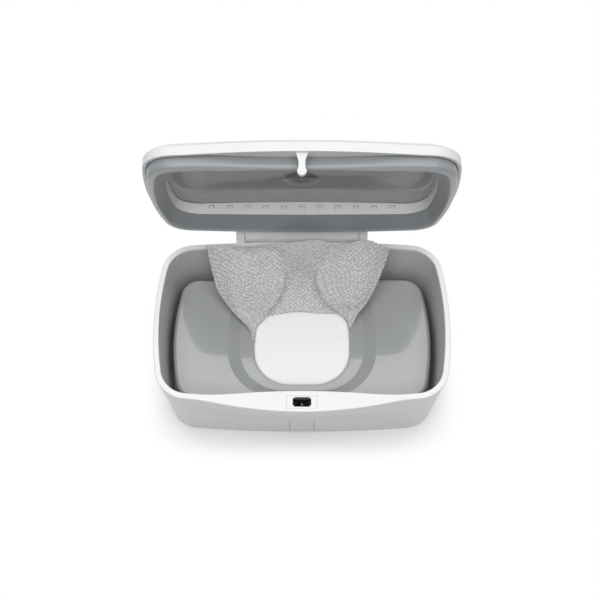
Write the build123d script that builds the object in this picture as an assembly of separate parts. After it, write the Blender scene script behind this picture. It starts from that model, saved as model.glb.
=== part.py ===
from build123d import *
import math
import os

# Pop-up wipes dispenser with its lid open. Millimetres, +Z up, front towards -Y.
# The origin is the middle of the base, on the surface that the dispenser stands on.

# Tub outline at the rim
tub_length = 240.0
tub_width = 143.0
rim_height = 88.0
corner_radius = 27.0
end_bow = 7.7
side_bow = 5.2

# How far a cutting solid reaches past the surface that it cuts
overshoot = 1.0

# Outer shell
shell_draft = 3.4
shell_wall = 2.2
rim_width = 4.2
rim_thickness = 1.8
rim_round = 1.2
foot_round = 1.3
shell_lift = 0.5

# Front ledge: how far the rim swells outward and inward, and how far down
ledge_swell = 7.4
ledge_span = 84.0
ledge_inward = 5.6
ledge_inner_span = 72.0
ledge_depth = 45.0
ledge_mid_depth = 22.0
ledge_mid_swell = 5.4
swell_power = 1.25

# Inner tub
liner_gap = 0.3
liner_wall = 1.8
liner_floor_height = 8.0
liner_floor = 2.0
niche_width = 44.0
niche_face_y = -57.6
niche_drop = 12.0
niche_wall = 1.6
niche_corner = 2.5
liner_top_gap = 0.1

# Underside cover, mat and screws
cover_thickness = 2.4
mat_length = 192.0
mat_width = 100.0
mat_thickness = 1.5
mat_recess = 1.0
mat_bows = (3.0, 2.0)
mat_seat_gap = 0.05
screw_x = 104.0
screw_y = 30.0
screw_radius = 1.5
screw_head_radius = 2.9
screw_head_height = 1.2
screw_length = 6.2
screw_sink = 0.2
screw_fit = 0.02
cross_length = 3.6
cross_width = 0.8
cross_depth = 0.6
boss_radius = 3.8

# Hinge
hinge_behind = 9.4
hinge_drop = 1.6
barrel_radius = 8.9
barrel_length = 95.4
knuckle_gap = 0.4
knuckle_width = 7.0
knuckle_root_inset = 1.4
knuckle_root_drop = 14.0
knuckle_root_thickness = 0.8
knuckle_root_height = 18.0
arm_root_proud = 1.6
arm_root_rise = 4.2
arm_root_thickness = 0.6
arm_root_height = 5.4
arm_root_reach = 1.2
hinge_pin_radius = 1.5
pin_fit = 0.04
lid_open = 80.7
spring_wire = 1.0
spring_coil_radius = 2.6
spring_pocket_radius = 3.6
spring_turns = 9
spring_pitch = 1.7
spring_end_gap = 0.9
spring_tang = 3.0
spring_knee = 0.05

# Lid
lid_seam = 0.6
lid_inset = 1.0
lid_end_inset = 1.4
lid_corner_growth = 0.6
lid_swell = 3.4
lid_skirt = 6.8
lid_wall = 2.0
lid_rise = 13.0
lid_swell_fade = 0.45
lid_span_fade = 0.1
# Crown over the skirt: share of its height, and how far the outline has drawn in there
lid_crown = ((0.42, 1.7), (0.75, 5.0), (0.93, 10.5), (1.0, 17.0))
window_length = 204.0
window_width = 88.0
window_corner = 20.0
window_end_bow = 6.0
window_side_bow = 2.0
window_thickness = 2.2
window_crown_radius = 1700.0
window_rise = 14.0
window_fit = 0.25
flange_wall = 1.8
frame_height = 2.0
frame_thickness = 1.6
snap_count = 11
snap_pitch = 14.6
snap_width = 4.7
snap_height = 3.0
snap_bar = 0.8
snap_proud = 0.5

snap_rise = 4.6

# Lid gasket
plug_gap = 0.7
plug_depth = 8.0
gasket_skin = 1.7
gasket_round = 4.0
gasket_lip = 4.6
soft_gap = 0.3

# Latch hook
hook_y = -70.0
hook_thickness = 3.0
hook_plate_width = 18.0
hook_root_width = 9.0
hook_neck_width = 4.7
hook_bulb_radius = 3.2
hook_length = 16.0

hook_neck_drop = 5.0
hook_seat_gap = 0.05

# Latch in the ledge
hole_length = 14.5
hole_width = 8.0
hole_shift = 0.6
bezel_length = 23.6
bezel_width = 10.4
bezel_corner = 0.8
hole_notch_length = 1.2
hole_notch_width = 1.0
part_gap = 0.3
seam_gap = 0.15
frame_cheek_x = 12.2
frame_cheek = 2.0
frame_plate = 1.5
frame_hole_margin = 0.6
cheek_setback = 0.5
web_below_pivot = 3.6
web_above_pivot = 2.6
web_upper_height = 9.5
web_thickness = 1.4
pin_bracket_front = 3.3
pin_bracket_back = 2.6
pin_bracket_below = 5.0
jaw_thickness = 3.6
jaw_pivot_x = 5.2
jaw_pivot_drop = 24.0
jaw_open = 10.0
jaw_side = 7.9
jaw_tail = 2.0
small_pin_radius = 1.2
press_fit = 0.01
jaw_spring_radius = 1.1
jaw_spring_wire = 0.4
jaw_spring_pitch = 1.0
jaw_spring_drop = 9.0

# Release button, a rocker about a pin near its top edge
button_width = 20.0
button_low = 4.5
button_high = 35.0
button_side_gap = 0.35
button_bottom_gap = 1.2
button_pin_y = -63.2
button_pin_z = 37.0
button_arm_width = 9.0
button_arm_thickness = 1.8
button_arm_front = 0.7
button_boss_radius = 2.7
button_rib_inset = 2.0
button_rib_low = 9.0
button_press = 4.5
button_spring_z = 14.0
button_spring_radius = 3.0
button_spring_wire = 0.7
button_spring_pitch = 1.5
nose_length = 4.0
nose_height = 4.0
nose_tip_half = 0.7
nose_root_half = 2.4
nose_base_half = 2.6
nose_under_bulb = 0.8
arm_over_nose = 0.4

# Weight plate
plate_length = 217.8
plate_width = 112.0
plate_corner = 16.0
plate_bows = (7.7, 2.0)
plate_top = 50.8
plate_height = 9.0
plate_wall = 2.0
plate_round = 3.0
dish_length = 125.6
dish_width = 108.0
dish_slope = 10.1
dish_slope_y = 6.5
dish_depth = 4.2
dish_corner = 42.0
dish_floor_corner = 36.0
dish_top_bows = (5.0, 2.0)
dish_floor_bows = (4.6, 2.4)
dish_edge_round = 3.0
opening_round = 0.9
opening_size = 82.8
opening_corner = 29.0
opening_bow = 3.2
plate_base_thickness = 1.6
weight_height = 4.4
weight_width = 28.0
weight_length = 82.0
weight_corner = 6.0
weight_from_dish = 4.0

# Wipes
stack_length = 176.0
stack_width = 98.0
stack_corner = 6.0
stack_crown = 3.0
stack_bow = 1.0
crown_low_inset = 1.2
crown_top_inset = 7.0
wipe_thickness = 1.6
wipe_lift = 0.9
wipe_folds = 3

# Places that follow from the sizes above
half_length = tub_length / 2
half_width = tub_width / 2
hinge_y = half_width + hinge_behind
hinge_z = rim_height - hinge_drop
liner_inset = shell_wall + liner_gap
liner_inner = liner_inset + liner_wall
plug_inset = rim_width + plug_gap
ledge_low = rim_height - ledge_depth
ledge_mid = rim_height - ledge_mid_depth
cover_top = shell_lift + cover_thickness
liner_floor_top = liner_floor_height + liner_floor
niche_top = rim_height - niche_drop
plate_bottom = plate_top - plate_height
ring_top = plate_top - dish_depth
stack_bottom = liner_floor_top + part_gap
stack_top = plate_bottom - part_gap
latch_top = rim_height - rim_thickness - part_gap
jaw_pivot_z = rim_height - jaw_pivot_drop
jaw_front = hook_y - jaw_thickness / 2
jaw_back = hook_y + jaw_thickness / 2
jaw_low = -jaw_pivot_drop - jaw_tail
hole_y = hook_y - hole_shift
nose_top = rim_height - hook_length - nose_under_bulb
web_front = jaw_back + part_gap
web_back = web_front + web_thickness

parts = {}


def draft_at(z):
    """How far the tub's wall has drawn in at a height below the rim."""
    return shell_draft * (rim_height - z) / (rim_height - shell_lift)


def outline(half_x, half_y, corner, z=0.0, bows=(end_bow, side_bow)):
    """Face in the shape of a rectangle with bowed sides and round corners."""
    end_x = half_x - bows[0]
    end_y = half_y - bows[1]
    right = ThreePointArc((end_x, -end_y), (half_x, 0), (end_x, end_y))
    back = ThreePointArc((end_x, end_y), (0, half_y), (-end_x, end_y))
    left = ThreePointArc((-end_x, end_y), (-half_x, 0), (-end_x, -end_y))
    front = ThreePointArc((-end_x, -end_y), (0, -half_y), (end_x, -end_y))
    face = Face(Wire([right, back, left, front]))
    face = fillet(face.vertices(), corner)
    return Pos(0, 0, z) * face


def swollen(inset, z, swell, span, end_inset=0.0, rounder=0.0):
    """The tub's outline inset by some amount, with its front side swollen by swell."""
    half_x = half_length - inset - end_inset
    plain = outline(half_x, half_width - inset, corner_radius - inset + rounder)
    edges = plain.edges().sort_by(Axis.Y)
    front = edges[0]
    ends = sorted([front @ 0, front @ 1], key=lambda point: point.X)
    first, last = ends
    slope = front % 0
    if slope.X < 0:
        slope = front % 1
        slope = Vector(-slope.X, -slope.Y)
    arc_sag = side_bow
    arc_reach = half_x - end_bow
    arc_radius = (arc_reach ** 2 + arc_sag ** 2) / (2 * arc_sag)
    steps = 12
    points = [first]
    for step in range(1, steps):
        x = first.X + (last.X - first.X) * step / steps
        ratio = min(1.0, abs(x) / span)
        plain_y = -(half_width - inset) + arc_radius - math.sqrt(arc_radius ** 2 - x ** 2)
        points.append(Vector(x, plain_y - swell * (1 - ratio ** 2) ** swell_power))
    points.append(last)
    tangents = [Vector(slope.X, slope.Y), Vector(slope.X, -slope.Y)]
    swept = Spline(*points, tangents=tangents)
    wire = Wire([swept] + list(edges[1:]))
    return Pos(0, 0, z) * Face(wire)


def ledge_swell_at(z):
    """Outward swell of the front at a height."""
    if z <= ledge_low:
        return 0.0
    if z <= ledge_mid:
        return ledge_mid_swell * (z - ledge_low) / (ledge_mid - ledge_low)
    rise = (z - ledge_mid) / (rim_height - ledge_mid)
    return ledge_mid_swell + (ledge_swell - ledge_mid_swell) * rise


def shell_block(inset, low, high):
    """Solid inside the outer wall, inset from it, from low to high."""
    levels = [low, ledge_low, ledge_mid, high]
    faces = []
    for level in levels:
        faces.append(swollen(inset + draft_at(level), level, ledge_swell_at(level), ledge_span))
    return loft(faces, ruled=True)


def box(x, y, z):
    """Box from three pairs of limits."""
    size = (x[1] - x[0], y[1] - y[0], z[1] - z[0])
    return Pos((x[0] + x[1]) / 2, (y[0] + y[1]) / 2, (z[0] + z[1]) / 2) * Box(*size)


def rod_x(radius, x, y, z):
    """Round bar along X between two limits."""
    return Pos((x[0] + x[1]) / 2, y, z) * Rot(0, 90, 0) * Cylinder(radius, x[1] - x[0])


def rod_y(radius, x, y, z):
    """Round bar along Y between two limits."""
    return Pos(x, (y[0] + y[1]) / 2, z) * Rot(90, 0, 0) * Cylinder(radius, y[1] - y[0])


def rod_z(radius, x, y, z):
    """Round bar along Z between two limits."""
    return Pos(x, y, (z[0] + z[1]) / 2) * Cylinder(radius, z[1] - z[0])


def coil(mean_radius, wire, pitch, height):
    """Helical spring along Z that starts at the origin."""
    path = Helix(pitch=pitch, height=height, radius=mean_radius)
    section = Plane(origin=path @ 0, z_dir=path % 0) * Circle(wire / 2)
    return sweep(section, path=path)


def opened(shape):
    """Turn a piece of the closed lid to the open place that it has at rest."""
    return shape.rotate(Axis((0, hinge_y, hinge_z), (1, 0, 0)), -lid_open)


def button_panel(gap_side=0.0, gap_low=0.0, gap_top=0.0):
    """Piece of the front wall that the release button takes up."""
    half = button_width / 2 + gap_side
    depth = (-half_width - overshoot, -half_width + shell_draft + shell_wall + overshoot)
    return box((-half, half), depth, (button_low - gap_low, button_high + gap_top))


def wall_slice():
    """The front wall alone, as the difference of its two skins."""
    outer = shell_block(0, shell_lift, rim_height)
    inner = shell_block(shell_wall, shell_lift - overshoot, rim_height - rim_thickness)
    return outer, inner


def make_outer_shell(outer, inner):
    shell = fillet(outer.edges().group_by(Axis.Z)[-1], rim_round)
    shell = fillet(shell.edges().group_by(Axis.Z)[0], foot_round)
    shell -= inner
    mouth = swollen(rim_width, rim_height - rim_thickness - overshoot, -ledge_inward, ledge_inner_span)
    shell -= extrude(mouth, rim_thickness + 2 * overshoot)
    shell -= button_panel(button_side_gap, button_bottom_gap, seam_gap)
    half_x = bezel_length / 2 + seam_gap
    half_y = bezel_width / 2 + seam_gap
    shell -= box((-half_x, half_x), (hole_y - half_y, hole_y + half_y),
                 (latch_top, rim_height + overshoot))
    inner_x = barrel_length / 2 + knuckle_gap
    outer_x = inner_x + knuckle_width
    root_y = half_width - shell_wall - knuckle_root_inset
    with BuildSketch(Plane.YZ) as profile:
        with Locations((hinge_y, hinge_z)):
            Circle(barrel_radius)
        with Locations((root_y, rim_height - knuckle_root_drop)):
            Rectangle(knuckle_root_thickness, knuckle_root_height)
        make_hull()
    for side in (-1, 1):
        start = inner_x if side > 0 else -outer_x
        knuckle = Pos(start, 0, 0) * extrude(profile.sketch, knuckle_width)
        knuckle -= shell_block(shell_wall - seam_gap, shell_lift - overshoot, rim_height - rim_thickness)
        shell += knuckle
    bore = (-outer_x - overshoot, outer_x + overshoot)
    shell -= rod_x(hinge_pin_radius + pin_fit, bore, hinge_y, hinge_z)
    tang_hole = inner_x + spring_tang + part_gap
    tang_z = hinge_z - spring_coil_radius
    shell -= rod_x(spring_wire / 2 + seam_gap, (-tang_hole, tang_hole), hinge_y, tang_z)
    return shell


def make_inner_tub():
    floor_low = liner_floor_height
    outer_faces = []
    inner_faces = []
    top = rim_height - rim_thickness - liner_top_gap
    for level in (floor_low, top):
        inset = liner_inset + draft_at(level)
        outer_faces.append(swollen(inset, level, -ledge_inward, ledge_inner_span))
    for level in (liner_floor_top, top + overshoot):
        inset = liner_inner + draft_at(level)
        inner_faces.append(swollen(inset, level, -ledge_inward, ledge_inner_span))
    tub = loft(outer_faces, ruled=True)
    hollow = loft(inner_faces, ruled=True)
    half = niche_width / 2
    niche_front = -half_width + liner_inset
    niche = box((-half, half), (niche_front, niche_face_y), (liner_floor_top - overshoot, niche_top))
    niche = fillet(niche.edges().filter_by(Axis.Z).sort_by(Axis.Y)[2:], niche_corner)
    hollow -= niche
    tub -= hollow
    core_half = half - niche_wall
    tub -= box((-core_half, core_half), (-half_width, niche_face_y - niche_wall),
               (floor_low - overshoot, niche_top - niche_wall))
    for x in (-screw_x, screw_x):
        for y in (-screw_y, screw_y):
            tub += rod_z(boss_radius, x, y, (cover_top + part_gap, floor_low + liner_floor / 2))
            tub -= rod_z(screw_radius, x, y, (cover_top, shell_lift + screw_sink + screw_length + part_gap))
    return tub


def make_bottom_cover():
    inset = shell_wall + shell_draft + part_gap
    face = outline(half_length - inset, half_width - inset, corner_radius - inset, shell_lift)
    cover = extrude(face, cover_thickness)
    recess = outline(mat_length / 2 + seam_gap, mat_width / 2 + seam_gap, corner_radius, shell_lift, mat_bows)
    cover -= extrude(recess, mat_recess)
    for x in (-screw_x, screw_x):
        for y in (-screw_y, screw_y):
            cover -= rod_z(screw_radius + pin_fit, x, y, (0, cover_top + overshoot))
            head_top = shell_lift + screw_sink + screw_head_height
            cover -= rod_z(screw_head_radius + seam_gap, x, y, (0, head_top))
    return cover


def make_foot_mat():
    face = outline(mat_length / 2, mat_width / 2, corner_radius, 0, mat_bows)
    return extrude(face, mat_thickness - mat_seat_gap)


def make_cover_screws():
    screws = []
    head_low = shell_lift + screw_sink
    arm = cross_length / 2
    half = cross_width / 2
    for x in (-screw_x, screw_x):
        for y in (-screw_y, screw_y):
            head = rod_z(screw_head_radius, x, y, (head_low, head_low + screw_head_height))
            head -= box((x - arm, x + arm), (y - half, y + half), (0, head_low + cross_depth))
            head -= box((x - half, x + half), (y - arm, y + arm), (0, head_low + cross_depth))
            shaft = rod_z(screw_radius - screw_fit, x, y, (head_low + cross_depth, head_low + screw_length))
            screws.append(head + shaft)
    return Compound(children=screws)


def make_latch_bezel():
    half_x = bezel_length / 2
    half_y = bezel_width / 2
    bezel = box((-half_x, half_x), (hole_y - half_y, hole_y + half_y), (latch_top + part_gap, rim_height))
    bezel = fillet(bezel.edges().filter_by(Axis.Z), bezel_corner)
    height = (latch_top, rim_height + overshoot)
    x_ends = (-hole_length / 2, hole_length / 2)
    y_ends = (hole_y - hole_width / 2, hole_y + hole_width / 2)
    hole = box(x_ends, y_ends, height)
    for x in x_ends:
        for y in y_ends:
            notch_x = (x - hole_notch_length, x + hole_notch_length)
            hole -= box(notch_x, (y - hole_notch_width, y + hole_notch_width), height)
    return bezel - hole


def make_latch_frame():
    half = frame_cheek_x + frame_cheek
    cheek_front = hook_y - cheek_setback
    frame_back = -half_width + ledge_inward + frame_plate
    top_low = latch_top - frame_plate
    frame = box((-half, half), (jaw_front - frame_cheek / 4, frame_back), (top_low, latch_top))
    hole_x = hole_length / 2 + frame_hole_margin
    half_hole = hole_width / 2 + seam_gap
    frame -= box((-hole_x, hole_x), (hole_y - half_hole, hole_y + half_hole),
                 (top_low - overshoot, latch_top + overshoot))
    web_low = jaw_pivot_z - web_below_pivot
    bracket_y = (button_pin_y - pin_bracket_front, button_pin_y + pin_bracket_back)
    for side in (-1, 1):
        x = sorted([side * frame_cheek_x, side * half])
        frame += box(x, (cheek_front, frame_back), (web_low, latch_top))
        frame += box(x, bracket_y, (button_pin_z - pin_bracket_below, niche_top - niche_wall - part_gap))
    frame += box((-half, half), (web_front, web_back), (web_low, jaw_pivot_z + web_above_pivot))
    frame += box((-half, half), (web_front, web_back), (latch_top - web_upper_height, latch_top))
    for side in (-1, 1):
        bore = (web_front - overshoot, web_back + overshoot)
        frame -= rod_y(small_pin_radius + press_fit, side * jaw_pivot_x, bore, jaw_pivot_z)
    bore = (-half - overshoot, half + overshoot)
    frame -= rod_x(small_pin_radius + pin_fit, bore, button_pin_y, button_pin_z)
    return frame


def make_jaw(side):
    """One jaw of the catch, drawn by its places right of and below the rim's middle."""
    points = [
        (1.4, jaw_low),
        (1.4, -17.0),
        (3.7, -15.6),
        (3.7, -10.6),
        (2.7, -9.4),
        (2.7, -8.2),
        (6.2, -4.2),
        (7.6, -4.4),
        (jaw_side, -9.0),
        (8.2, -20.0),
        (7.8, jaw_low),
    ]
    placed = [(side * x, rim_height + n) for x, n in points]
    face = make_face(Polyline(*placed, close=True))
    jaw = extrude(Plane.XZ * face, jaw_thickness / 2, both=True)
    jaw = Pos(0, hook_y, 0) * jaw
    bore = (jaw_front - overshoot, jaw_back + overshoot)
    jaw -= rod_y(small_pin_radius + pin_fit, side * jaw_pivot_x, bore, jaw_pivot_z)
    return jaw


def make_jaw_pins():
    pins = []
    reach = (jaw_front - part_gap, web_back)
    for side in (-1, 1):
        pins.append(rod_y(small_pin_radius, side * jaw_pivot_x, reach, jaw_pivot_z))
    return Compound(children=pins)


def make_jaw_spring(side):
    start = jaw_side + 2 * part_gap
    end = frame_cheek_x - jaw_spring_wire / 2 - part_gap
    spring = coil(jaw_spring_radius, jaw_spring_wire, jaw_spring_pitch, end - start)
    spring = Rot(0, side * 90, 0) * spring
    return Pos(side * start, hook_y, rim_height - jaw_spring_drop) * spring


def make_release_button(outer, inner):
    button = (outer - inner) & button_panel()
    low = button_high - button_rib_low
    rib_half = button_width / 2 - button_rib_inset
    rib_front = -half_width + draft_at(button_high) + shell_wall / 2
    arm_front = button_pin_y - button_arm_front
    arm_back = arm_front + button_arm_thickness
    half = button_arm_width / 2
    button += box((-half, half), (arm_front, arm_back), (low, nose_top + arm_over_nose))
    button += box((-rib_half, rib_half), (rib_front, arm_back), (low, button_high - overshoot))
    boss_x = frame_cheek_x - part_gap
    button += rod_x(button_boss_radius, (-boss_x, boss_x), button_pin_y, button_pin_z)
    base = arm_front + button_arm_thickness / 4
    tip = arm_front - nose_length
    nose_points = [
        (-nose_base_half, base),
        (-nose_root_half, arm_front),
        (-nose_tip_half, tip),
        (nose_tip_half, tip),
        (nose_root_half, arm_front),
        (nose_base_half, base),
    ]
    nose = extrude(make_face(Polyline(*nose_points, close=True)), nose_height)
    button += Pos(0, 0, nose_top - nose_height) * nose
    bore = (-boss_x - overshoot, boss_x + overshoot)
    button -= rod_x(small_pin_radius + pin_fit, bore, button_pin_y, button_pin_z)
    return button


def make_button_pin():
    half = frame_cheek_x + frame_cheek
    return rod_x(small_pin_radius, (-half, half), button_pin_y, button_pin_z)


def make_button_spring():
    front = -(half_width - draft_at(button_spring_z)) + shell_wall + part_gap
    back = niche_face_y - niche_wall - part_gap
    length = back - front - button_spring_wire
    spring = coil(button_spring_radius, button_spring_wire, button_spring_pitch, length)
    spring = Rot(-90, 0, 0) * spring
    return Pos(0, front + button_spring_wire / 2, button_spring_z) * spring


def make_hinge_pin():
    half = barrel_length / 2 + knuckle_gap + knuckle_width - part_gap
    return rod_x(hinge_pin_radius, (-half, half), hinge_y, hinge_z)


def make_torsion_spring(side):
    """Coil round the hinge pin, whose outer end is a tang in the knuckle."""
    spring = coil(spring_coil_radius, spring_wire, spring_pitch, spring_turns * spring_pitch)
    spring = Rot(0, 90, 0) * spring
    end = barrel_length / 2 - spring_end_gap
    spring = Pos(end - spring_turns * spring_pitch, hinge_y, hinge_z) * spring
    tang_end = barrel_length / 2 + knuckle_gap + spring_tang
    knee_z = hinge_z - spring_coil_radius
    spring += Pos(end, hinge_y, knee_z) * Sphere(spring_wire / 2 + spring_knee)
    spring += rod_x(spring_wire / 2, (end, tang_end), hinge_y, knee_z)
    return spring if side > 0 else mirror(spring, Plane.YZ)


def window_outline(grow, z):
    bows = (window_end_bow, window_side_bow)
    return outline(window_length / 2 + grow, window_width / 2 + grow, window_corner + grow, z, bows)


def window_dome(top):
    """Very large ball whose top stands at a height over the rim."""
    return Pos(0, 0, rim_height + top - window_crown_radius) * Sphere(window_crown_radius)


def lid_block(inset, drop, low):
    """Solid under the lid's outer skin, inset and lowered by the wall."""
    z = rim_height
    skirt_top = z + lid_seam + lid_skirt
    skirt = swollen(lid_inset + inset, low, lid_swell, ledge_span, lid_end_inset)
    skirt_high = swollen(lid_inset + inset, skirt_top - drop, lid_swell, ledge_span, lid_end_inset)
    block = loft([skirt, skirt_high], ruled=True)
    rise = lid_rise - lid_seam - lid_skirt
    faces = [skirt_high]
    for share, pull in lid_crown:
        level = skirt_top - drop + rise * share
        swell = lid_swell * (1 - lid_swell_fade * share)
        span = ledge_span * (1 - lid_span_fade * share)
        rounder = pull * (1 + lid_corner_growth)
        faces.append(swollen(lid_inset + inset + pull, level, swell, span, lid_end_inset, rounder))
    return block + loft(faces)


def make_lid_shell():
    shell = lid_block(0, 0, rim_height + lid_seam)
    shell -= lid_block(lid_wall, lid_wall, rim_height - overshoot)
    shell -= extrude(window_outline(flange_wall + window_fit, rim_height), 2 * lid_rise)
    return shell


def make_lid_window():
    pane = extrude(window_outline(flange_wall, rim_height + window_rise / 2), window_rise)
    pane &= window_dome(window_rise)
    pane -= window_dome(window_rise - window_thickness)
    return pane


def plug_block(inset, low, high, edge_round=0.0):
    """Solid inside the gasket's outer wall, which draws in with the tub's own draft."""
    levels = [(low, 0.0), (high, 0.0)]
    if edge_round > 0:
        levels = [(high, 0.0)]
        for turn in range(0, 91, 15):
            angle = math.radians(turn)
            levels.insert(0, (low + edge_round * (1 - math.sin(angle)), edge_round * (1 - math.cos(angle))))
    faces = []
    for n, pull in levels:
        wall_inset = plug_inset + inset + pull + draft_at(rim_height + min(n, 0.0))
        faces.append(swollen(wall_inset, rim_height + n, -ledge_inward, ledge_inner_span))
    return loft(faces, ruled=True)


def plug_hollow(raise_by):
    """Outlines of the gasket's sloping underside, from the window out to the lip and below it."""
    upper = window_outline(0.0, rim_height + raise_by)
    lip = gasket_lip + plug_inset + draft_at(rim_height - plug_depth)
    lower = outline(half_length - lip, half_width - lip, corner_radius - lip,
                    rim_height - plug_depth + raise_by)
    below = outline(half_length - lip, half_width - lip, corner_radius - lip,
                    rim_height - plug_depth - overshoot)
    return upper, lower, below


def make_lid_frame():
    low = -plug_depth + gasket_skin + soft_gap
    wedge = plug_block(gasket_skin + soft_gap, low, frame_height + seam_gap)
    upper, lower, below = plug_hollow(gasket_skin + soft_gap)
    wedge -= loft([lower, upper], ruled=True)
    inset = lid_inset + lid_wall + part_gap
    ring_face = swollen(inset, rim_height + frame_height, lid_swell, ledge_span, lid_end_inset)
    ring = extrude(ring_face, frame_thickness)
    pane_low = window_rise - window_thickness - part_gap
    wall = extrude(window_outline(flange_wall, rim_height + seam_gap), pane_low)
    wall &= window_dome(pane_low)
    frame = wedge + ring + wall
    frame -= extrude(window_outline(0.0, rim_height - overshoot), 2 * window_rise)
    return frame


def make_window_snaps():
    """Small bridges on the rear wall of the window flange, each an arch of two posts and a bar."""
    snaps = []
    base_y = window_width / 2
    z_low = rim_height + snap_rise
    for number in range(snap_count):
        x = (number - (snap_count - 1) / 2) * snap_pitch
        half = snap_width / 2
        sag = window_side_bow * ((abs(x) + half) / (window_length / 2 - window_end_bow)) ** 2
        y = (base_y - sag - snap_proud, base_y - sag - pin_fit)
        arch = box((x - half, x + half), y, (z_low, z_low + snap_height))
        inside = half - snap_bar
        arch -= box((x - inside, x + inside), (y[0] - overshoot, y[1] + overshoot),
                    (z_low - overshoot, z_low + snap_height - snap_bar))
        snaps.append(arch)
    return snaps


def make_lid_gasket():
    gasket = plug_block(0, -plug_depth, frame_height - soft_gap, gasket_round)
    upper, lower, below = plug_hollow(0.0)
    gasket -= loft([below, lower], ruled=True)
    gasket -= loft([lower, upper], ruled=True)
    core_low = -plug_depth + gasket_skin
    core = plug_block(gasket_skin, core_low, frame_height + overshoot)
    core_upper, core_lower, core_below = plug_hollow(gasket_skin)
    core -= loft([core_lower, core_upper], ruled=True)
    gasket -= core
    gasket -= extrude(window_outline(flange_wall + soft_gap, rim_height), frame_height + overshoot)
    return gasket


def make_latch_hook():
    n = rim_height
    top = frame_height - hook_seat_gap
    half_plate = hook_plate_width / 2
    half_root = hook_root_width / 2
    half_neck = hook_neck_width / 2
    plate_low = lid_seam
    bulb_n = -hook_length + hook_bulb_radius
    plate = box((-half_plate, half_plate), (hook_y - hook_thickness / 2, hook_y + hook_thickness),
                (n + plate_low, n + top))
    outline_points = [
        (-half_root, n + top),
        (-half_neck, n - hook_neck_drop),
        (-half_neck, n + bulb_n),
        (half_neck, n + bulb_n),
        (half_neck, n - hook_neck_drop),
        (half_root, n + top),
    ]
    stem = extrude(Plane.XZ * make_face(Polyline(*outline_points, close=True)), hook_thickness / 2, both=True)
    bulb = Pos(0, 0, n + bulb_n) * Rot(90, 0, 0) * Cylinder(hook_bulb_radius, hook_thickness)
    return plate + Pos(0, hook_y, 0) * (stem + bulb)


def make_hinge_arm():
    half = barrel_length / 2
    skirt_y = half_width - lid_inset
    with BuildSketch(Plane.YZ) as profile:
        with Locations((hinge_y, hinge_z)):
            Circle(barrel_radius)
        with Locations((skirt_y + arm_root_proud, rim_height + arm_root_rise)):
            Rectangle(arm_root_thickness, arm_root_height)
        make_hull()
    arm = Pos(-half, 0, 0) * extrude(profile.sketch, 2 * half)
    root_low = rim_height + arm_root_rise - arm_root_height / 2
    arm += box((-half, half), (skirt_y - arm_root_reach, skirt_y + arm_root_proud),
               (root_low, root_low + arm_root_height))
    arm -= lid_block(-seam_gap, 0, rim_height - lid_seam)
    arm -= rod_x(hinge_pin_radius + pin_fit, (-half - overshoot, half + overshoot), hinge_y, hinge_z)
    pocket_start = half - 2 * spring_end_gap - spring_turns * spring_pitch
    for side in (-1, 1):
        x = sorted([side * pocket_start, side * (half + overshoot)])
        arm -= rod_x(spring_pocket_radius, x, hinge_y, hinge_z)
    return arm


def dish_faces(grow, drop):
    """Upper and lower outline of the dish in the middle of the plate."""
    half_x = dish_length / 2 + grow
    half_y = dish_width / 2 + grow / 2
    high = outline(half_x, half_y, dish_corner, plate_top - drop, dish_top_bows)
    low = outline(half_x - dish_slope, half_y - dish_slope_y, dish_floor_corner, ring_top - drop,
                  dish_floor_bows)
    return high, low


def opening_outline(grow, z):
    half = opening_size / 2 + grow
    return outline(half, half, opening_corner + grow, z, (opening_bow, opening_bow))


def edges_at(shape, z, reach):
    """Edges at one height whose middles lie within a square about the centre."""
    found = []
    for edge in shape.edges():
        middle = edge.center()
        if abs(middle.Z - z) < seam_gap and max(abs(middle.X), abs(middle.Y)) < reach + seam_gap:
            found.append(edge)
    return found


def make_plate_cover():
    face = outline(plate_length / 2, plate_width / 2, plate_corner, plate_bottom, plate_bows)
    cover = extrude(face, plate_height)
    cover = fillet(cover.edges().group_by(Axis.Z)[-1], plate_round)
    high, low = dish_faces(0.0, 0.0)
    cover -= loft([low, high], ruled=True)
    cover = fillet(edges_at(cover, ring_top, dish_length / 2), dish_edge_round)
    cover -= extrude(opening_outline(0.0, plate_bottom - overshoot), plate_height + 2 * overshoot)
    cover = fillet(edges_at(cover, ring_top, opening_size / 2), opening_round)
    inner = outline(plate_length / 2 - plate_wall, plate_width / 2 - plate_wall, plate_corner - plate_wall,
                    plate_bottom - overshoot, plate_bows)
    hollow = extrude(inner, plate_height - plate_wall + overshoot)
    under_high, under_low = dish_faces(plate_wall, plate_wall)
    under = loft([under_low, under_high], ruled=True)
    under += extrude(under_high, plate_wall)
    hollow -= under
    hollow -= extrude(opening_outline(plate_wall, plate_bottom - overshoot), plate_height)
    cover -= hollow
    return cover


def make_plate_base():
    gap = plate_wall + part_gap
    face = outline(plate_length / 2 - gap, plate_width / 2 - gap, plate_corner - gap, plate_bottom,
                   plate_bows)
    base = extrude(face, plate_base_thickness)
    base -= extrude(opening_outline(gap, plate_bottom - overshoot), plate_height)
    return base


def make_plate_weight():
    bars = []
    low = plate_bottom + plate_base_thickness + part_gap
    limit = dish_length / 2 + weight_from_dish
    for side in (-1, 1):
        x = sorted([side * limit, side * (limit + weight_width)])
        bar = box(x, (-weight_length / 2, weight_length / 2), (low, low + weight_height))
        bars.append(fillet(bar.edges().filter_by(Axis.Z), weight_corner))
    return Compound(children=bars)


def make_wipes_stack():
    half_x = stack_length / 2
    half_y = stack_width / 2
    face = outline(half_x, half_y, stack_corner, stack_bottom, (stack_bow, stack_bow))
    block = extrude(face, stack_top - stack_bottom)
    low = opening_outline(-crown_low_inset, stack_top - overshoot)
    high = opening_outline(-crown_top_inset, stack_top + stack_crown)
    return block + loft([low, high], ruled=True)


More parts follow.
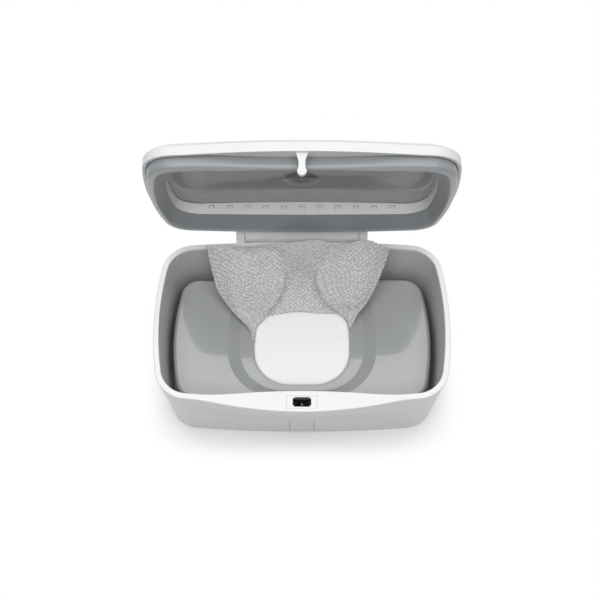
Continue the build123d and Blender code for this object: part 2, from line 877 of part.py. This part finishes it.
def wave_face(centre_y, z, half, depth, folds, tilt):
    """Thin waving strip of cloth across X at one height."""
    count = 4 * folds
    front = []
    back = []
    for step in range(count + 1):
        x = -half + 2 * half * step / count
        y = -depth * (0.5 - 0.5 * math.cos(math.pi * step / 2))
        front.append((x, y - wipe_thickness / 2))
        back.append((x, y + wipe_thickness / 2))
    first = Spline(*front)
    second = Spline(*back)
    left = Line(front[0], back[0])
    right = Line(front[-1], back[-1])
    face = Face(Wire([first, right, second, left]))
    return Pos(0, centre_y, z) * Rot(tilt, 0, 0) * face


def make_wipe():
    """The wipe that stands up through the opening, with its main folds."""
    # Each level: middle of the strip in Y, height, half length, depth of the folds, tilt in degrees
    levels = [
        (24.0, stack_top + stack_crown + wipe_lift, 31.0, 2.0, -20.0),
        (36.0, plate_top + 12.0, 48.0, 7.0, -20.0),
        (52.0, plate_top + 30.0, 64.0, 8.0, -10.0),
        (61.5, plate_top + 50.0, 73.0, 6.0, 0.0),
    ]
    faces = []
    for centre_y, z, half, depth, tilt in levels:
        faces.append(wave_face(centre_y, z, half, depth, wipe_folds, tilt))
    return loft(faces)


def build():
    outer, inner = wall_slice()
    parts["outer_shell"] = make_outer_shell(outer, inner)
    parts["inner_tub"] = make_inner_tub()
    parts["bottom_cover"] = make_bottom_cover()
    parts["foot_mat"] = make_foot_mat()
    parts["cover_screws"] = make_cover_screws()
    parts["latch_bezel"] = make_latch_bezel()
    parts["latch_frame"] = make_latch_frame()
    parts["jaw_left"] = make_jaw(-1)
    parts["jaw_right"] = make_jaw(1)
    parts["jaw_pins"] = make_jaw_pins()
    parts["jaw_spring_left"] = make_jaw_spring(-1)
    parts["jaw_spring_right"] = make_jaw_spring(1)
    parts["release_button"] = make_release_button(outer, inner)
    parts["button_pin"] = make_button_pin()
    parts["button_spring"] = make_button_spring()
    parts["hinge_pin"] = make_hinge_pin()
    parts["torsion_spring_left"] = make_torsion_spring(-1)
    parts["torsion_spring_right"] = make_torsion_spring(1)
    parts["wipes_stack"] = make_wipes_stack()
    parts["wipe"] = make_wipe()
    parts["plate_cover"] = make_plate_cover()
    parts["plate_base"] = make_plate_base()
    parts["plate_weight"] = make_plate_weight()
    parts["lid_shell"] = opened(make_lid_shell())
    parts["lid_window"] = opened(make_lid_window())
    parts["lid_frame"] = opened(make_lid_frame())
    parts["window_snaps"] = Compound(children=[opened(snap) for snap in make_window_snaps()])
    parts["lid_gasket"] = opened(make_lid_gasket())
    parts["latch_hook"] = opened(make_latch_hook())
    parts["hinge_arm"] = opened(make_hinge_arm())


build()
os.makedirs("parts", exist_ok=True)
for name, shape in parts.items():
    export_step(shape, "parts/" + name + ".step")
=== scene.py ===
import math

import bpy
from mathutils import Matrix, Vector
from mathutils.noise import noise as turbulence


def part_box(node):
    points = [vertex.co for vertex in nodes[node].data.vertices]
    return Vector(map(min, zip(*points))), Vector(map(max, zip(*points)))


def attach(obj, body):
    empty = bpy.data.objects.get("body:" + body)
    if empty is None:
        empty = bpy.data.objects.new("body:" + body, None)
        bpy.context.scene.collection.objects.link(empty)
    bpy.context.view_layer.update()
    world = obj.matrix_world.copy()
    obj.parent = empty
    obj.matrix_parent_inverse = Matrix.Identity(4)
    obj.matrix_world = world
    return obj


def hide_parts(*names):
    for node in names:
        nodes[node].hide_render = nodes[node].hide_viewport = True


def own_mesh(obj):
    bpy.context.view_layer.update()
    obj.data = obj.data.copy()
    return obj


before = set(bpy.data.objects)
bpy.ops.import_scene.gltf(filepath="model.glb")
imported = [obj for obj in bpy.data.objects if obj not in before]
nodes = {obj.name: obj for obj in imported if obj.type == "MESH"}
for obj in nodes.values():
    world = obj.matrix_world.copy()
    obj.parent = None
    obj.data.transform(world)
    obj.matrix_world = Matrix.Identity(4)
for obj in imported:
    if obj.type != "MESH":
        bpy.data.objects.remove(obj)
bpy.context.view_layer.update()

MM = 0.001

LID_ANGLE = math.radians(80.7)           # the open lid of the photo, from closed
HINGE_AXIS = (0, 0.0809, 0.0864)
PHOTO_SIDE = 600                         # pixels
FOCAL_LENGTH = 905.65                    # pixels of the photo


# Materials

def new_material(name):
    """Material with a Principled shader, and the node tree to add to."""
    material = bpy.data.materials.new(name)
    material.use_nodes = True
    tree = material.node_tree
    return material, tree, tree.nodes["Principled BSDF"]


def noise(tree, scale, detail, roughness=0.5, stretch=(1, 1, 1)):
    """Value of a noise in the object's own coordinates, in cells per metre."""
    place = tree.nodes.new("ShaderNodeTexCoord")
    mapping = tree.nodes.new("ShaderNodeMapping")
    mapping.inputs["Scale"].default_value = stretch
    texture = tree.nodes.new("ShaderNodeTexNoise")
    texture.inputs["Scale"].default_value = scale
    texture.inputs["Detail"].default_value = detail
    texture.inputs["Roughness"].default_value = roughness
    tree.links.new(place.outputs["Object"], mapping.inputs["Vector"])
    tree.links.new(mapping.outputs["Vector"], texture.inputs["Vector"])
    return texture.outputs["Fac"]


def ramp(tree, source, low, high, start=0.3, end=0.7):
    """Colour or value that runs from low to high as the source goes from start to end."""
    node = tree.nodes.new("ShaderNodeValToRGB")
    stops = node.color_ramp.elements
    for stop, position, value in ((stops[0], start, low), (stops[1], end, high)):
        stop.position = position
        stop.color = (*value, 1) if isinstance(value, tuple) else (value, value, value, 1)
    tree.links.new(source, node.inputs["Fac"])
    return node.outputs["Color"]


def reckon(tree, operation, first, second):
    """Math node on a socket and a second socket or number."""
    node = tree.nodes.new("ShaderNodeMath")
    node.operation = operation
    tree.links.new(first, node.inputs[0])
    if isinstance(second, float):
        node.inputs[1].default_value = second
    else:
        tree.links.new(second, node.inputs[1])
    return node.outputs["Value"]


def bump(tree, source, strength, distance, below=None):
    """Normal that follows the source's height, on top of the normal below."""
    node = tree.nodes.new("ShaderNodeBump")
    node.inputs["Strength"].default_value = strength
    node.inputs["Distance"].default_value = distance
    tree.links.new(source, node.inputs["Height"])
    if below is not None:
        tree.links.new(below, node.inputs["Normal"])
    return node.outputs["Normal"]


def moulded(name, color, roughness, grain=0.05, coat=0.0, coat_roughness=0.05, ior=1.48, tone=0.02):
    """Moulded plastic: faint cloudiness in its colour and gloss, and a very fine skin."""
    material, tree, shader = new_material(name)
    spread = 0.03
    low = tuple(c * (1 - tone) for c in color)
    high = tuple(c * (1 + tone) for c in color)
    cloud = ramp(tree, noise(tree, 38.0, 4.0), low, high)
    gloss = ramp(tree, noise(tree, 120.0, 5.0, 0.6), roughness - spread, roughness + spread)
    skin = bump(tree, noise(tree, 2600.0, 2.0), grain, 0.04 * MM)
    tree.links.new(cloud, shader.inputs["Base Color"])
    tree.links.new(gloss, shader.inputs["Roughness"])
    tree.links.new(skin, shader.inputs["Normal"])
    shader.inputs["IOR"].default_value = ior
    shader.inputs["Coat Weight"].default_value = coat
    shader.inputs["Coat Roughness"].default_value = coat_roughness
    return material


def lip_silicone():
    """Blue-grey silicone with a painted highlight: paler towards the lip, whatever the lid's angle."""
    material, tree, shader = new_material("blue_grey_silicone")
    place = tree.nodes.new("ShaderNodeTexCoord")
    closed = tree.nodes.new("ShaderNodeVectorRotate")
    closed.rotation_type = "X_AXIS"
    closed.inputs["Angle"].default_value = LID_ANGLE
    closed.inputs["Center"].default_value = HINGE_AXIS
    axes = tree.nodes.new("ShaderNodeSeparateXYZ")
    share = tree.nodes.new("ShaderNodeMapRange")
    lip_end, lip_root = 80.0 * MM, 82.2 * MM
    share.inputs["From Min"].default_value = lip_end
    share.inputs["From Max"].default_value = lip_root
    tree.links.new(place.outputs["Object"], closed.inputs["Vector"])
    tree.links.new(closed.outputs["Vector"], axes.inputs["Vector"])
    tree.links.new(axes.outputs["Z"], share.inputs["Value"])
    # The paler colour towards the lip end is a painted highlight, not a paler silicone.
    painted_lip_highlight, full = (0.42, 0.445, 0.46), (0.275, 0.292, 0.303)
    color = ramp(tree, share.outputs["Result"], painted_lip_highlight, full, 0.0, 0.6)
    gloss = ramp(tree, noise(tree, 120.0, 5.0, 0.6), 0.3, 0.36)
    tree.links.new(color, shader.inputs["Base Color"])
    tree.links.new(gloss, shader.inputs["Roughness"])
    shader.inputs["Coat Weight"].default_value = 0.4
    shader.inputs["Coat Roughness"].default_value = 0.2
    return material


def smoke_window():
    """Smoke-tinted clear plastic."""
    material, tree, shader = new_material("smoke_window")
    cloud = ramp(tree, noise(tree, 30.0, 3.0), (0.335, 0.326, 0.322), (0.362, 0.353, 0.349))
    gloss = ramp(tree, noise(tree, 90.0, 4.0), 0.05, 0.09)
    tree.links.new(cloud, shader.inputs["Base Color"])
    tree.links.new(gloss, shader.inputs["Roughness"])
    shader.inputs["Transmission Weight"].default_value = 0.5
    shader.inputs["IOR"].default_value = 1.5
    return material


def drawn_steel(name, stretch):
    """Bright drawn wire or turned pin, with fine lines along it."""
    material, tree, shader = new_material(name)
    lines = noise(tree, 900.0, 3.0, 0.6, stretch)
    color = ramp(tree, lines, (0.50, 0.50, 0.51), (0.66, 0.66, 0.67))
    tree.links.new(color, shader.inputs["Base Color"])
    tree.links.new(ramp(tree, lines, 0.22, 0.36), shader.inputs["Roughness"])
    tree.links.new(bump(tree, lines, 0.2, 0.04 * MM), shader.inputs["Normal"])
    shader.inputs["Metallic"].default_value = 1.0
    return material


def dress(material, *names):
    """Give the CAD nodes of these names one material."""
    for name in names:
        slots = nodes[name].data.materials
        slots.clear()
        slots.append(material)


dress(moulded("white_gloss_plastic", (0.86, 0.86, 0.86), 0.36, coat=0.15, coat_roughness=0.2),
      "outer_shell", "latch_bezel", "release_button", "hinge_arm")
dress(moulded("lid_white_plastic", (0.81, 0.81, 0.81), 0.36, coat=0.15, coat_roughness=0.2),
      "lid_shell", "latch_hook")
dress(moulded("warm_grey_liner", (0.62, 0.605, 0.595), 0.44, grain=0.0), "inner_tub", "bottom_cover")
dress(moulded("plate_gloss_grey", (0.355, 0.367, 0.372), 0.16, coat=1.0, coat_roughness=0.03, ior=1.5),
      "plate_cover", "plate_base")
dress(moulded("pale_frame_plastic", (0.88, 0.875, 0.87), 0.3), "lid_frame")
# The snap bars get a darker grey than the pale frame they belong to: painted shade.
dress(moulded("snap_bar_painted_shade", (0.58, 0.575, 0.57), 0.4), "window_snaps")
dress(smoke_window(), "lid_window")
dress(moulded("black_latch_plastic", (0.012, 0.012, 0.013), 0.38, tone=0.1),
      "latch_frame", "jaw_left", "jaw_right")
dress(lip_silicone(), "lid_gasket")
dress(moulded("grey_mat_rubber", (0.13, 0.13, 0.13), 0.7, grain=0.6, tone=0.08), "foot_mat")
dress(drawn_steel("spring_wire_steel", (1, 1, 1)), "jaw_spring_left", "jaw_spring_right",
      "button_spring", "torsion_spring_left", "torsion_spring_right", "plate_weight")
dress(drawn_steel("pin_steel", (0.05, 1, 1)), "cover_screws", "jaw_pins", "button_pin", "hinge_pin")


# Cloth

def nonwoven(name, low, high, dimple, strength, sheen, smooth=None):
    """Embossed nonwoven: rows of small pillows in the cloth's own UV, in metres, with painted shade
    darkening the grooves between them.

    smooth is the centre and the radii of a place where the pillows are pressed flat and the colour is greyed
    as painted shade.
    """
    material, tree, shader = new_material(name)
    uv = tree.nodes.new("ShaderNodeUVMap")
    uv.uv_map = "cloth"
    rows = tree.nodes.new("ShaderNodeMapping")
    rows.inputs["Scale"].default_value = (1 / dimple, 1 / dimple, 1)
    rows.inputs["Rotation"].default_value = (0, 0, math.radians(45))
    tree.links.new(uv.outputs["UV"], rows.inputs["Vector"])
    cells = tree.nodes.new("ShaderNodeTexVoronoi")
    cells.inputs["Scale"].default_value = 1.0
    cells.inputs["Randomness"].default_value = 0.4
    tree.links.new(rows.outputs["Vector"], cells.inputs["Vector"])
    height = cells.outputs["Distance"]
    if smooth is not None:
        centre, radii = smooth
        place = tree.nodes.new("ShaderNodeTexCoord")
        about = tree.nodes.new("ShaderNodeMapping")
        about.inputs["Location"].default_value = [-c / r for c, r in zip(centre, radii)]
        about.inputs["Scale"].default_value = [1 / r for r in radii]
        ball = tree.nodes.new("ShaderNodeTexGradient")
        ball.gradient_type = "SPHERICAL"
        tree.links.new(place.outputs["Object"], about.inputs["Vector"])
        tree.links.new(about.outputs["Vector"], ball.inputs["Vector"])
        # In the smooth place the pattern is lifted towards the groove value: flatter pillows, and a greyer
        # colour that is painted shade.
        height = reckon(tree, "MAXIMUM", height, ramp(tree, ball.outputs["Fac"], 0.0, 0.42, 0.0, 0.6))
    fibre = bump(tree, noise(tree, 1500.0, 6.0, 0.7, (1, 1, 0.4)), 0.35, 0.25 * MM)
    pillow = bump(tree, ramp(tree, height, 1.0, 0.0, 0.08, 0.62), strength, 0.7 * MM, fibre)
    # Base colour runs from high on the pillows to low in the grooves: painted shade.
    tree.links.new(ramp(tree, height, high, low, 0.12, 0.62), shader.inputs["Base Color"])
    tree.links.new(pillow, shader.inputs["Normal"])
    shader.inputs["Roughness"].default_value = 0.62
    shader.inputs["Sheen Weight"].default_value = sheen
    shader.inputs["Sheen Roughness"].default_value = 0.4
    shader.inputs["Subsurface Weight"].default_value = 0.15
    shader.inputs["Subsurface Radius"].default_value = (2 * MM, 2 * MM, 2 * MM)
    return material


def between(points, t):
    """Point on a smooth curve through the points, at share t of their count."""
    count = len(points) - 1
    at = min(max(t, 0.0), 1.0) * count
    index = min(int(at), count - 1)
    f = at - index
    p1, p2 = points[index], points[index + 1]
    p0 = points[index - 1] if index > 0 else p1 * 2 - p2
    p3 = points[index + 2] if index + 2 <= count else p2 * 2 - p1
    return 0.5 * (2 * p1 + (p2 - p0) * f + (2 * p0 - 5 * p1 + 4 * p2 - p3) * f * f
                  + (3 * p1 - p0 - 3 * p2 + p3) * f ** 3)


def mesh_object(name, vertices, faces, material):
    """Smooth-shaded mesh object of one material."""
    mesh = bpy.data.meshes.new(name)
    mesh.from_pydata([tuple(v) for v in vertices], [], faces)
    mesh.update()
    mesh.shade_smooth()
    mesh.materials.append(material)
    piece = bpy.data.objects.new(name, mesh)
    bpy.context.scene.collection.objects.link(piece)
    return piece


def grid_object(name, rows, material, closed=False):
    """Mesh over rows of points, each row as long as the first; closed rows get a cap at each end."""
    wide = len(rows[0])
    vertices = [v for row in rows for v in row]
    faces = []
    for j in range(len(rows) - 1):
        for i in range(wide if closed else wide - 1):
            k = (i + 1) % wide
            faces.append((j * wide + i, j * wide + k, (j + 1) * wide + k, (j + 1) * wide + i))
    if closed:
        last = (len(rows) - 1) * wide
        faces.append(tuple(range(wide - 1, -1, -1)))
        faces.append(tuple(range(last, last + wide)))
    return mesh_object(name, vertices, faces, material)


def set_cloth_uv(piece, place_of):
    """UV map for the nonwoven, in metres of cloth: place_of gives a vertex's place."""
    uv = piece.data.uv_layers.new(name="cloth")
    for loop in piece.data.loops:
        uv.data[loop.index].uv = place_of(loop.vertex_index)


# The wipe's levels, from the opening up, in millimetres. Each has nine places, left to right: edge,
# lobe, fold, the cloth turned in behind it, pocket, the cloth turned in, fold, lobe, edge.
wipe_levels = [
    [(-41, -3, 45), (-39, 10, 45), (-33, 18, 46), (-29, 22, 45), (0, 25, 45), (29, 24, 45), (34, 21, 46),
     (39, 15, 46), (41, 7, 45)],
    [(-46, 8, 51), (-47, 17, 55), (-28, 22, 54), (-30, 28, 52), (0, 33, 54), (30, 30, 52), (29, 24, 55),
     (42, 20, 56), (47, 16, 54)],
    [(-60, 21, 58), (-52, 24, 65), (-22, 28, 62), (-24, 37, 62), (0, 41, 64), (24, 39, 62), (20, 29, 63),
     (42, 25, 66), (56, 27, 62)],
    [(-71, 35, 66), (-52, 33, 77), (-17, 39, 73), (-17, 44, 75), (0, 47, 76), (16, 45, 75), (13, 40, 73),
     (44, 35, 78), (63, 39, 72)],
    [(-75, 47, 75), (-50, 43, 87), (-22, 50, 84), (-12, 50, 86), (0, 50, 87), (12, 50, 86), (20, 49, 84),
     (47, 45, 88), (69, 50, 82)],
    [(-78, 57, 88), (-48, 53, 94), (-25, 59, 94), (-11, 55, 97), (0, 54, 98), (12, 55, 97), (26, 57, 94),
     (50, 54, 98), (72, 57, 91)],
    [(-79, 63, 98), (-60, 62, 96), (-40, 63, 95), (-14, 61, 104), (0, 60, 107), (14, 61, 106),
     (32, 63, 103), (54, 61, 107), (73, 61, 98)],
]


def crumpled(point):
    """Point of the wipe, moved by broad creases and by finer ones."""
    creases = turbulence(point * 45.0) * 3.0 + turbulence(point * 130.0 + Vector((3, 0, 0))) * 0.6
    return point + Vector((0, 0.8, 0.6)) * creases * MM


def make_wipe():
    across, along = 150, 80
    curves = [[Vector(p) * MM for p in level] for level in wipe_levels]
    rows = []
    for j in range(along + 1):
        places = [between([curve[k] for curve in curves], j / along) for k in range(len(curves[0]))]
        rows.append([crumpled(between(places, i / across)) for i in range(across + 1)])
    # The darker low colour goes in the grooves and the greyed smooth place near the top: painted shade.
    cloth = nonwoven("wipe_nonwoven", (0.52, 0.52, 0.525), (0.84, 0.84, 0.845), 2.9 * MM, 1.0, 0.1,
                     ((0, 0.058, 0.100), (0.034, 0.022, 0.022)))
    piece = grid_object("wipe_sheet", rows, cloth)
    flat = []
    for j, row in enumerate(rows):
        widths = [(row[i + 1] - row[i]).length for i in range(across)]
        start = -sum(widths[:across // 2])
        places = []
        for i in range(across + 1):
            rise = (row[i] - rows[j - 1][i]).length + flat[j - 1][i][1] if j else 0.0
            places.append((start + sum(widths[:i]), rise))
        flat.append(places)
    set_cloth_uv(piece, lambda index: flat[index // (across + 1)][index % (across + 1)])
    solid = piece.modifiers.new("cloth_thickness", "SOLIDIFY")
    solid.thickness = 0.5 * MM
    solid.offset = 0
    return piece


def rounded(half_x, half_y, corner, z):
    """Loop of points round a rectangle with round corners."""
    steps = 24
    points = []
    for quarter in range(4):
        sx = 1 if quarter in (0, 3) else -1
        sy = 1 if quarter in (0, 1) else -1
        for step in range(steps + 1):
            angle = math.pi / 2 * (quarter + step / steps)
            points.append(Vector((sx * (half_x - corner) + corner * math.cos(angle),
                                  sy * (half_y - corner) + corner * math.sin(angle), z)))
    return points


def make_stack():
    """Folded wipes: leaves with round edges, and a low cushion that fills the plate's opening."""
    low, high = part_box("wipes_stack")
    half_x, half_y = high.x - 0.6 * MM, high.y - 0.6 * MM
    leaves, corner, shift = 26, 5 * MM, 0.5 * MM
    top = high.z - 3.0 * MM
    pitch = (top - low.z) / leaves
    rows = [rounded(half_x - 1.2 * MM, half_y - 1.2 * MM, corner, low.z + 0.1 * MM)]
    for leaf in range(leaves):
        z = low.z + leaf * pitch
        drift = shift * math.sin(leaf * 2.4)
        for share, inset in ((0.1, 0.9), (0.3, 0.25), (0.7, 0.25), (0.9, 0.9)):
            ring = rounded(half_x - inset * MM - shift, half_y - inset * MM - shift, corner,
                           z + share * pitch)
            rows.append([p + Vector((drift, drift * 0.6, 0)) for p in ring])
    rows.append(rounded(half_x - 2.5 * MM, half_y - 2.5 * MM, 4 * MM, top - 0.05 * MM))
    rows.append(rounded(43 * MM, 43 * MM, 32 * MM, top - 0.05 * MM))
    cushion = ((40.8, 0.2), (40.6, 1.2), (40.0, 1.9), (38.6, 2.4), (35.5, 2.75), (28.0, 2.95), (14.0, 3.0))
    for half, rise in cushion:
        rows.append(rounded(half * MM, half * MM, half * 0.76 * MM, top + rise * MM))
    # The slightly darker low colour in the grooves is painted shade.
    cloth = nonwoven("stack_nonwoven", (0.94, 0.94, 0.94), (0.98, 0.98, 0.98), 3.0 * MM, 0.05, 0.05)
    piece = grid_object("folded_wipes", rows, cloth, closed=True)
    corners = [v.co for v in piece.data.vertices]
    set_cloth_uv(piece, lambda index: (corners[index].x, corners[index].y + corners[index].z))
    return piece


stack = make_stack()
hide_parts("wipes_stack")
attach(stack, "base")

wipe = make_wipe()
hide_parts("wipe")
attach(wipe, "weight_plate")
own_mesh(wipe)


# Floor, light and camera

def seen_rays(tree):
    """1 for camera rays, and for what gloss and glass show, and 0 for the rest."""
    path = tree.nodes.new("ShaderNodeLightPath")
    rays = path.outputs["Is Camera Ray"]
    for other in ("Is Glossy Ray", "Is Transmission Ray"):
        rays = reckon(tree, "MAXIMUM", rays, path.outputs[other])
    return rays


def mixed(tree, share, first, second):
    """Mix of two shaders, all second where the share is 1."""
    node = tree.nodes.new("ShaderNodeMixShader")
    tree.links.new(share, node.inputs["Fac"])
    tree.links.new(first, node.inputs[1])
    tree.links.new(second, node.inputs[2])
    return node.outputs["Shader"]


def diffuse(tree, color):
    node = tree.nodes.new("ShaderNodeBsdfDiffuse")
    node.inputs["Color"].default_value = (*color, 1)
    return node.outputs["BSDF"]


def clear_of_foot(tree):
    """0 on the floor under and close round the part, rising to 1 a little further out."""
    place = tree.nodes.new("ShaderNodeTexCoord")
    sides = tree.nodes.new("ShaderNodeSeparateXYZ")
    tree.links.new(place.outputs["Object"], sides.inputs["Vector"])
    squareness = 5.0
    powers = []
    for side, half in (("X", 0.124), ("Y", 0.0845)):
        away = reckon(tree, "ABSOLUTE", sides.outputs[side], 0.0)
        powers.append(reckon(tree, "POWER", reckon(tree, "DIVIDE", away, half), squareness))
    share = tree.nodes.new("ShaderNodeMapRange")
    share.interpolation_type = "SMOOTHSTEP"
    share.inputs["From Min"].default_value = 0.86
    share.inputs["From Max"].default_value = 1.13
    tree.links.new(reckon(tree, "POWER", reckon(tree, "ADD", *powers), 1 / squareness),
                   share.inputs["Value"])
    return share.outputs["Result"]


def make_floor():
    """Pale floor, seen white clear of the part's foot; close round the foot a darker diffuse holds the
    part's real shadow plus painted shade from the mask, and a darker bounce.
    """
    material, tree, _ = new_material("floor_white")
    tree.nodes.clear()
    out = tree.nodes.new("ShaderNodeOutputMaterial")
    glow = tree.nodes.new("ShaderNodeEmission")
    glow.inputs["Color"].default_value = (1, 1, 1, 1)
    # Inside the mask the floor is a 0.86 diffuse, not white: real shadow deepened by painted shade round the
    # foot.
    seen = mixed(tree, clear_of_foot(tree), diffuse(tree, (0.86, 0.86, 0.86)), glow.outputs["Emission"])
    tree.links.new(mixed(tree, seen_rays(tree), diffuse(tree, (0.40, 0.387, 0.387)), seen),
                   out.inputs["Surface"])
    reach = 4.0
    corners = [(-reach, -reach, 0), (reach, -reach, 0), (reach, reach, 0), (-reach, reach, 0)]
    mesh_object("floor", corners, [(0, 1, 2, 3)], material)


def background(tree, color, strength):
    node = tree.nodes.new("ShaderNodeBackground")
    node.inputs["Color"].default_value = (*color, 1)
    node.inputs["Strength"].default_value = strength
    return node.outputs["Background"]


def make_world():
    """White to look at, and a soft fill for the rest."""
    world = bpy.data.worlds.new("studio")
    bpy.context.scene.world = world
    world.use_nodes = True
    tree = world.node_tree
    tree.nodes.clear()
    out = tree.nodes.new("ShaderNodeOutputWorld")
    fill = background(tree, (0.97, 0.98, 1.0), 0.30)
    tree.links.new(mixed(tree, seen_rays(tree), fill, background(tree, (1, 1, 1), 1.0)),
                   out.inputs["Surface"])


def aimed(name, data, place, direction):
    """Object for a lamp or camera at a place, turned to look along the direction."""
    thing = bpy.data.objects.new(name, data)
    thing.location = place
    thing.rotation_mode = "QUATERNION"
    thing.rotation_quaternion = direction.to_track_quat("-Z", "Y")
    bpy.context.scene.collection.objects.link(thing)
    return thing


def area_light(name, place, target, size, power):
    data = bpy.data.lights.new(name, "AREA")
    data.shape = "RECTANGLE"
    data.size, data.size_y = size
    data.energy = power
    aimed(name, data, place, Vector(target) - Vector(place))


def make_camera():
    """Camera fitted to the photo: its rim, base, weight plate and lid."""
    elevation = math.radians(66.01)
    distance = 0.73302
    target = Vector((0, 0, 0.088))
    back = Vector((0, -math.cos(elevation), math.sin(elevation)))
    data = bpy.data.cameras.new("camera")
    data.sensor_width = 36.0
    data.lens = FOCAL_LENGTH / PHOTO_SIDE * data.sensor_width
    data.shift_x = -1.9 / PHOTO_SIDE
    data.shift_y = 18.85 / PHOTO_SIDE
    bpy.context.scene.camera = aimed("camera", data, target + back * distance, -back)


make_floor()
make_world()
area_light("softbox_front", (0, -0.79, 2.92), (0, 0.03, 0.08), (3.6, 2.2), 65.0)
area_light("softbox_back", (0, 1.2, 2.75), (0, 0.0, 0.05), (3.6, 1.6), 22.0)
make_camera()
bpy.context.scene.view_settings.view_transform = "Standard"
